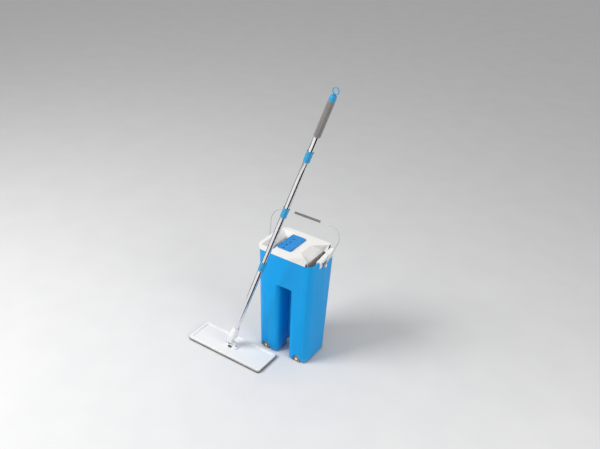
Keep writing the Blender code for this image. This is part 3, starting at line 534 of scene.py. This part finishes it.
sleeve_grey = moulding("sleeve_grey", (0.150, 0.150, 0.150), (0.120, 0.120, 0.122), 0.62, bump=0.3,
                       grain=1500.0, wear=0.2)
low, high = extent("bail_grip", handle)
half_length = (high[0] - low[0]) / 2
sleeve_r, sleeve_bore, rib_pitch = 0.0042, 0.0029, 0.0060
sleeve_place = looking(handle @ Vector((0.0, 0.0, reach)), handle.col[0].xyz, handle.col[2].xyz)
run = np.linspace(-1.0, 1.0, 160)
grooved = (np.cos(run * half_length / rib_pitch * 2 * math.pi) > 0.55) * (abs(run) < 0.93)
outer = sleeve_r * (1.0 - 0.045 * grooved)
outer = np.minimum(outer, 0.0030 + 0.0012 * np.sqrt(np.clip((1.0 - abs(run)) / 0.03, 0.0, 1.0)))
outer_wall = np.stack([outer, run * half_length], axis=1)
bore_wall = np.array([[sleeve_bore, half_length], [sleeve_bore, -half_length]])
stand_in(lathe("handle_sleeve", np.vstack([outer_wall, bore_wall]), sleeve_place, sides=40), sleeve_grey,
         "bail_grip")


# ---------------------------------------------------------------------------
# Drain. A white plug with a pull tab, pushed into the wash tank's inner wall
# against a rubber ring.

stand_in(finished("drain_plug", "drain_stopper", 0.0006, segments=3), cap_white, "drain_plug")
seal = frame["nodes"]["drain_seal"]
seal.data.materials.clear()
seal.data.materials.append(lip_rubber)


# ---------------------------------------------------------------------------
# Mop plate and its swivel foot. A white moulded plate with a raised border, and
# a white joint held on by two screws: a fork, a cross piece and two steel pins,
# with a small dark slide that locks the pole upright.

plate_white = moulding("plate_white", (0.810, 0.810, 0.808), (0.775, 0.776, 0.775), 0.34, bump=0.07,
                       grain=1300.0, dust=0.18, dust_height=0.012, wear=0.15, worn_colour=(0.9, 0.9, 0.9),
                       Coat_Weight=0.12, Subsurface_Weight=0.04, Subsurface_Scale=0.003)
stand_in(finished("mop_plate", "head_plate", 0.0011, segments=4), plate_white, "mop_plate")
stand_in(finished("joint_base", "swivel_foot", 0.0006, segments=3), plate_white, "joint_base")
stand_in(finished("joint_cross", "swivel_cross", 0.0006, segments=3), plate_white, "joint_cross")
stand_in(finished("joint_socket", "pole_socket", 0.0006, segments=3), plate_white, "joint_socket")

button_dark = moulding("button_dark", (0.040, 0.040, 0.042), (0.028, 0.028, 0.030), 0.45, bump=0.2,
                       grain=1200.0, wear=0.35)
stand_in(finished("lock_button", "lock_slide", 0.0005, segments=3), button_dark, "lock_button")

bright_steel = drawn_metal("bright_steel", (0.72, 0.72, 0.73), (0.62, 0.62, 0.63), 0.16, 60.0, 900.0, 0.1)
for side in ("left", "right"):
    low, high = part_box("base_screw_" + side)
    middle = (low + high) / 2
    foot = high.z - screw_rise
    screw_head("foot_screw_" + side, looking((middle.x, middle.y, foot), (0.0, 0.0, 1.0), (0.7, 0.7, 0.0)),
               screw_radius, screw_rise, bright_steel, "base_screw_" + side, (0.0020, 0.0042))


# ---------------------------------------------------------------------------
# Pole. Four thin polished steel tubes pushed together in blue couplings, with a
# soft fluted grey grip, a blue end cap and a thin ring to hang it by.

pole = looking(joints["head_roll"]["pos_m"], joints["loop_turn"]["axis"], (1.0, 0.0, 0.0))
tube_wall, pin_r, socket_bore, flute_count = 0.0006, 0.0024, 0.0093, 28
tube_steel = drawn_metal("tube_steel", (0.86, 0.86, 0.87), (0.80, 0.80, 0.82), 0.12, 500.0, 3.0, 0.05)
for index in range(1, 5):
    node = "tube_%d" % index
    low, high = extent(node, pole)
    outer, inner = high[0], high[0] - tube_wall
    wall = rounded([(outer, low[2]), (outer, high[2]), (inner, high[2]), (inner, low[2])], 0.0002, steps=3)
    stand_in(lathe("steel_" + node, wall, pole, sides=64), tube_steel, node)

pin_place = looking(joints["head_roll"]["pos_m"], joints["head_roll"]["axis"], (1.0, 0.0, 0.0))
foot_place = looking(joints["head_pitch"]["pos_m"], joints["head_pitch"]["axis"], (0.0, 1.0, 0.0))
for node, place in (("roll_pin", pin_place), ("pitch_pin", foot_place)):
    low, high = extent(node, place)
    pin = rounded([(0.0, high[2]), (pin_r, high[2]), (pin_r, low[2]), (0.0, low[2])], 0.0006, closed=False)
    stand_in(lathe("steel_" + node, pin, place, sides=40, closed=False), bright_steel, node)

coupling_blue = moulding("coupling_blue", (0.030, 0.300, 0.560), (0.024, 0.280, 0.530), 0.32, spread=0.05,
                         bump=0.08, grain=1400.0, wear=0.2, Specular_IOR_Level=0.4)
for index in range(1, 4):
    node = "coupling_%d" % index
    low, high = extent(node, pole)
    outer, bore = high[0], socket_bore
    middle, half = (low[2] + high[2]) / 2, (high[2] - low[2]) / 2
    lip = outer - 0.0005
    outline = rounded([(bore, half), (lip, half), (outer, half - 0.0012), (outer, half - 0.0045),
                       (lip, half - 0.0052), (lip, 0.0030), (outer, 0.0022), (outer, -0.0022), (lip, -0.0030),
                       (lip, 0.0052 - half), (outer, 0.0045 - half), (outer, 0.0012 - half), (lip, -half),
                       (bore, -half), (bore, -0.0015), (0.0, -0.0015), (0.0, 0.0015), (bore, 0.0015)], 0.0003)
    flutes = lambda angle, height: 1.0 + 0.012 * (np.cos(angle * flute_count) - 1.0) * (
        (abs(height) > 0.0036) & (abs(height) < 0.0130))
    here = pole @ Matrix.Translation((0.0, 0.0, middle))
    stand_in(lathe("pole_" + node, outline, here, sides=168, ripple=flutes), coupling_blue, node)

# The grip's flutes get strong painted shade in their troughs.
grip_foam = moulding("grip_foam", (0.230, 0.218, 0.205), (0.190, 0.180, 0.170), 0.62, bump=0.4,
                     grain=1100.0, wear=0.25, shade_in_creases=0.85, Sheen_Weight=0.10)
low, high = extent("grip_sleeve", pole)
outer, bore = high[0], socket_bore
length = high[2] - low[2]
share = np.linspace(0.0, 1.0, 90)
ends = np.sqrt(np.clip(np.minimum(share, 1.0 - share) * length / 0.0020, 0.0, 1.0))
wall = np.stack([bore + 0.0003 + (outer - bore - 0.0003) * ends, high[2] - share * length], axis=1)
inner_wall = np.array([[bore, low[2]], [bore, high[2]]])


def fluting(angle, height):
    """Eight rounded ribs, 1 - 0.13 (1 - |sin 4a|^0.6), faded out over the last 8 mm at each end."""
    fade = np.clip(np.minimum(height - low[2], high[2] - height) / 0.008, 0.0, 1.0)
    rib = abs(np.sin(angle * 4.0)) ** 0.6
    return 1.0 - 0.130 * (1.0 - rib) * fade * (3 - 2 * fade) * fade


grip = lathe("grip_foam_sleeve", np.vstack([wall, inner_wall]), pole, sides=192, ripple=fluting, turn=60.0)
stand_in(grip, grip_foam, "grip_sleeve")

low, high = extent("end_cap", pole)
crown, skirt = high[2], extent("grip_sleeve", pole)[1][2] + 0.0003
outer = high[0]
outline = rounded([(0.0, crown - 0.0070), (0.0026, crown - 0.0070), (0.0026, crown), (0.0050, crown),
                   (0.0085, crown - 0.0025), (0.0100, crown - 0.0070), (0.0101, skirt + 0.0062),
                   (outer, skirt + 0.0052), (outer, skirt + 0.0008), (outer - 0.0006, skirt),
                   (0.0081, skirt), (0.0081, low[2]), (0.0, low[2])], 0.0006, closed=False)
stand_in(lathe("pole_end_cap", outline, pole, sides=96, closed=False), coupling_blue, "end_cap")

low, high = extent("hanger_loop", pole)
ring_r = (high[0] - low[0]) / 2 - (high[1] - low[1]) / 2
wire_r, ring_steps = 0.0015, 96
ring_z = high[2] - ring_r - wire_r
angle = np.linspace(0.0, 2.0 * math.pi, ring_steps, endpoint=False)
circle = np.stack([ring_r * np.sin(angle), np.zeros(ring_steps), ring_z + ring_r * np.cos(angle)], axis=1)
stand_in(carried("hanging_ring", circle, np.full(ring_steps, wire_r), pole, sides=24, closed=True),
         coupling_blue, "hanger_loop")
stem_low, stem_high = low[2], ring_z - ring_r
stem = rounded([(0.0, stem_high), (0.0020, stem_high - 0.0004), (0.0022, stem_high - 0.0016),
                (0.0022, stem_low), (0.0, stem_low)], 0.0005, closed=False)
stem_piece = lathe("hanging_stem", stem, pole, sides=32, closed=False)
stem_piece.data.materials.append(coupling_blue)
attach(stem_piece, body_of["hanger_loop"])


# ---------------------------------------------------------------------------
# Pad. Looped microfibre sewn to a grey backing cloth and bound round its edge
# with a folded tape. Two strips of hook tape hold it under the plate.

def cloth(name, colour, tint, pitch, roughness, bump, sheen):
    """A woven or looped cloth: two crossed sine waves of Object X and Y give the threads."""
    material = bpy.data.materials.new(name)
    material.use_nodes = True
    tree = material.node_tree
    shader = tree.nodes["Principled BSDF"]
    place = add(tree, "TexCoord").outputs["Object"]
    axes = add(tree, "SeparateXYZ", {0: place})
    wobble = add(tree, "TexNoise", {"Vector": place, "Scale": 320.0, "Detail": 3.0})
    drift = maths(tree, "MULTIPLY", wobble.outputs["Fac"], 2.2)
    waves = [maths(tree, "SINE", maths(tree, "ADD", maths(
        tree, "MULTIPLY", axes.outputs[axis], 2 * math.pi / pitch), drift)) for axis in "XY"]
    threads = remap(tree, maths(tree, "MULTIPLY", waves[0], waves[1]), -0.8, 0.8)
    patch = add(tree, "TexNoise", {"Vector": place, "Scale": 45.0, "Detail": 5.0})
    base = mix(tree, remap(tree, patch.outputs["Fac"], 0.35, 0.65), (*colour, 1.0), (*tint, 1.0))
    shaded = mix(tree, maths(tree, "MULTIPLY", threads, 0.45), base, (*[0.55 * c for c in tint], 1.0))
    tree.links.new(shaded, shader.inputs["Base Color"])
    rough = maths(tree, "ADD", roughness, maths(tree, "MULTIPLY", threads, 0.08))
    tree.links.new(rough, shader.inputs["Roughness"])
    height = maths(tree, "ADD", threads, maths(tree, "MULTIPLY", wobble.outputs["Fac"], 0.8))
    bump_node = add(tree, "Bump", {"Height": height, "Strength": bump, "Distance": 0.0004})
    tree.links.new(bump_node.outputs["Normal"], shader.inputs["Normal"])
    shader.inputs["Sheen Weight"].default_value = sheen
    shader.inputs["Sheen Roughness"].default_value = 0.5
    return material


pad_low, pad_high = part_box("mop_pad")
pad_middle = (pad_low + pad_high) / 2
half_x, half_y = (pad_high.x - pad_low.x) / 2, (pad_high.y - pad_low.y) / 2
pad_top = pad_high.z
corner_r = 0.011


def into_corner(x, y):
    """Pull a rectangle's grid into one with round corners.

    In each corner square (a, b) goes to (a sqrt(1 - b^2/2), b sqrt(1 - a^2/2)), a quarter disc.
    """
    a = np.clip((abs(x) - (half_x - corner_r)) / corner_r, 0.0, None)
    b = np.clip((abs(y) - (half_y - corner_r)) / corner_r, 0.0, None)
    new_a, new_b = a * np.sqrt(1.0 - b * b / 2.0), b * np.sqrt(1.0 - a * a / 2.0)
    new_x = np.sign(x) * (np.minimum(abs(x), half_x - corner_r) + new_a * corner_r)
    new_y = np.sign(y) * (np.minimum(abs(y), half_y - corner_r) + new_b * corner_r)
    return new_x, new_y


def to_edge(x, y):
    """Distance from a point of the rectangle's grid to its nearest side."""
    return np.minimum(half_x - abs(x), half_y - abs(y))


def crowded(half, count):
    """Spread points over -half..half as t + 0.1 sin(pi t), close together near both ends."""
    t = np.linspace(-1.0, 1.0, count)
    return half * (t + 0.10 * np.sin(math.pi * t))


# Upper and lower face meet at the waist in a quarter-ellipse shoulder. The lower face bulges down in
# rows of loops: the square root of |cos| of y gives a row, and a wavy cos of x gives its loops.
grid_count, tuft_count, tufts_per_metre = (380, 130), (64, 24), 180
grid_x, grid_y = np.meshgrid(crowded(half_x, grid_count[0]), crowded(half_y, grid_count[1]), indexing="ij")
waist, shoulder_width, pile_root = 0.0036, 0.0035, 0.0020
row_pitch, loop_pitch, pile_depth = 0.0052, 0.0036, 0.0017
shoulder = np.sqrt(1.0 - (1.0 - np.clip(to_edge(grid_x, grid_y) / shoulder_width, 0.0, 1.0)) ** 2)
row = np.abs(np.cos(math.pi * grid_y / row_pitch))
twist = 0.5 + 0.5 * np.cos(2 * math.pi * (grid_x / loop_pitch + 0.35 * np.sin(2 * math.pi * grid_y / 0.031)))
rng = np.random.default_rng(5)
tufts = rng.random(tuft_count)
tuft = tufts[(grid_x * tufts_per_metre).astype(int) % tuft_count[0],
             (grid_y * tufts_per_metre).astype(int) % tuft_count[1]]
pile = pile_depth * np.sqrt(row) * (0.62 + 0.30 * twist + 0.08 * tuft)
under = waist - (waist - pile_root + pile) * shoulder
over = waist + (pad_top - waist) * shoulder
edge_x, edge_y = into_corner(grid_x, grid_y)
lower = np.stack([edge_x, edge_y, under], axis=-1)
upper = np.stack([edge_x, edge_y, over], axis=-1)
pad_points = np.concatenate([lower.reshape(-1, 3), upper.reshape(-1, 3)])
pad_points += np.array([pad_middle.x, pad_middle.y, 0.0])
cells = np.arange(grid_x.size).reshape(grid_x.shape)
quads = np.stack([cells[:-1, :-1], cells[1:, :-1], cells[1:, 1:], cells[:-1, 1:]], axis=-1).reshape(-1, 4)
pad_mesh = bpy.data.meshes.new("microfibre_pad")
pad_mesh.from_pydata(pad_points, [], np.concatenate([quads[:, ::-1], quads + grid_x.size]).tolist())
builder = bmesh.new()
builder.from_mesh(pad_mesh)
bmesh.ops.remove_doubles(builder, verts=builder.verts, dist=1e-6)
bmesh.ops.recalc_face_normals(builder, faces=builder.faces)
builder.to_mesh(pad_mesh)
builder.free()
pad_mesh.shade_smooth()
pad = bpy.data.objects.new("microfibre_pad", pad_mesh)
bpy.context.scene.collection.objects.link(pad)
pad_cloth = cloth("pad_cloth", (0.52, 0.52, 0.53), (0.42, 0.42, 0.43), 0.0011, 0.85, 0.8, 0.25)
stand_in(pad, pad_cloth, "mop_pad")

tape_grey = cloth("tape_grey", (0.165, 0.165, 0.168), (0.120, 0.120, 0.123), 0.0007, 0.80, 0.6, 0.2)
straight_x, straight_y = half_x - corner_r, half_y - corner_r
quarter = np.linspace(0.0, math.pi / 2, 14)
outline, outward = [], []
for sign_x, sign_y, start in ((1, 1, 0.0), (-1, 1, 0.5), (-1, -1, 1.0), (1, -1, 1.5)):
    turned = quarter + start * math.pi
    way = np.stack([np.cos(turned), np.sin(turned)], axis=1)
    outline.append(np.array([sign_x * straight_x, sign_y * straight_y]) + corner_r * way)
    outward.append(way)
outline, outward = np.concatenate(outline), np.concatenate(outward)
# The tape's section is an arc of an ellipse with a smaller arc inside it, carried round the outline.
tape_r, tape_overlap = 0.0024, 0.0008
fold = np.linspace(-0.62 * math.pi, 0.62 * math.pi, 16)
outer_fold = np.stack([tape_r * 0.55 * np.cos(fold), tape_r * np.sin(fold)], axis=1)
inner_fold = outer_fold[::-1] * 0.80
section = np.concatenate([outer_fold, inner_fold])
tape = np.empty((len(outline), len(section), 3))
tape[..., :2] = outline[:, None] + outward[:, None] * (section[None, :, :1] - tape_overlap)
tape[..., 2] = waist + 0.0001 + section[None, :, 1]
tape += np.array([pad_middle.x, pad_middle.y, 0.0])
binding = skin("pad_binding", tape, wrap_rows=True, wrap_columns=True, turn=50.0)
binding.data.materials.append(tape_grey)
binding.parent = pad

hook_tape = cloth("hook_tape", (0.075, 0.075, 0.080), (0.055, 0.055, 0.060), 0.0013, 0.85, 0.9, 0.1)
for node in ("hook_strip_front", "hook_strip_rear"):
    strip = frame["nodes"][node]
    strip.data.materials.clear()
    strip.data.materials.append(hook_tape)


# ---------------------------------------------------------------------------
# Studio. A plain pale floor and backdrop, a broad soft light from the left and
# a weaker fill from the right, and the camera.

floor_half = 12.0
floor_mesh = bpy.data.meshes.new("floor")
floor_mesh.from_pydata([(-floor_half, -floor_half, 0), (floor_half, -floor_half, 0),
                        (floor_half, floor_half, 0), (-floor_half, floor_half, 0)], [], [(0, 1, 2, 3)])
floor = bpy.data.objects.new("floor", floor_mesh)
bpy.context.scene.collection.objects.link(floor)
floor_paint = moulding("floor_paint", (0.70, 0.70, 0.70), (0.685, 0.685, 0.69), 0.6, bump=0.0, wear=0.0,
                       shade_in_creases=0.0, Specular_IOR_Level=0.0)
floor.data.materials.append(floor_paint)

# Two dark cards lie on the floor, one to the right of the pole's foot and one on its far left. Only
# reflections see them, so they darken the polished tubes. The floor has no gloss, or it would mirror them.
card_mesh = bpy.data.meshes.new("mirror_cards")
card_mesh.from_pydata([(0.02, -0.03, 0.002), (0.62, -1.00, 0.002), (1.60, -0.60, 0.002), (1.50, 0.12, 0.002),
                       (-0.45, -0.10, 0.002), (-0.45, 0.35, 0.002), (-2.6, 1.5, 0.002), (-2.6, -0.2, 0.002)],
                      [], [(0, 1, 2, 3), (7, 6, 5, 4)])
cards = bpy.data.objects.new("mirror_cards", card_mesh)
bpy.context.scene.collection.objects.link(cards)
card_paint = moulding("card_paint", (0.012, 0.012, 0.013), (0.016, 0.016, 0.017), 0.9, bump=0.0, wear=0.0,
                      worn_colour=(0.02, 0.02, 0.02), Specular_IOR_Level=0.0)
cards.data.materials.append(card_paint)
cards.visible_camera = cards.visible_diffuse = cards.visible_shadow = False
cards.visible_transmission = cards.visible_volume_scatter = False

world = bpy.data.worlds.new("studio")
bpy.context.scene.world = world
world.use_nodes = True
tree = world.node_tree
background = tree.nodes["Background"]
# The surroundings are darker on one side, but not where the camera looks straight at them.
way = add(tree, "TexCoord").outputs["Generated"]
dark_side = add(tree, "VectorMath", {0: way, 1: (0.93, -0.36, 0.05)},
                operation="DOT_PRODUCT").outputs["Value"]
shade = remap(tree, dark_side, 0.55, 0.95, 1.0, 0.35)
seen = add(tree, "LightPath").outputs["Is Camera Ray"]
sky = mix(tree, maths(tree, "MAXIMUM", shade, seen), (0.0, 0.0, 0.0, 1.0), (1.0, 1.0, 1.0, 1.0))
tree.links.new(sky, background.inputs["Color"])
background.inputs["Strength"].default_value = 0.52


def soft_light(name, place, aim, size, power):
    """Hang one square soft light and turn it to its aim."""
    lamp = bpy.data.lights.new(name, "AREA")
    lamp.size = size
    lamp.energy = power
    holder = bpy.data.objects.new(name, lamp)
    bpy.context.scene.collection.objects.link(holder)
    holder.location = place
    holder.rotation_euler = (Vector(aim) - Vector(place)).to_track_quat("-Z", "Y").to_euler()


centre = (Vector(cad_box[0]) + Vector(cad_box[1])) / 2
soft_light("key_light", (-1.3, -1.6, 2.4), centre, 1.3, 76.0)
soft_light("fill_light", (2.4, -0.6, 1.5), centre, 1.4, 26.0)

camera_data = bpy.data.cameras.new("camera")
camera_data.lens = 43.0
camera = bpy.data.objects.new("camera", camera_data)
bpy.context.scene.collection.objects.link(camera)
bpy.context.scene.camera = camera
azimuth, elevation, roll = math.radians(31.87), math.radians(30.19), math.radians(3.07)
back = Vector((math.sin(azimuth) * math.cos(elevation), -math.cos(azimuth) * math.cos(elevation),
               math.sin(elevation)))
right = Vector((math.cos(azimuth), math.sin(azimuth), 0.0))
up = back.cross(right)
right, up = math.cos(roll) * right + math.sin(roll) * up, math.cos(roll) * up - math.sin(roll) * right
target, distance = Vector((0.3605, -0.1547, 0.7262)), 1.990
eye_point = target + back * distance
camera.matrix_world = Matrix(((right.x, up.x, back.x, eye_point.x), (right.y, up.y, back.y, eye_point.y),
                              (right.z, up.z, back.z, eye_point.z), (0, 0, 0, 1)))
bpy.context.scene.view_settings.view_transform = "Standard"
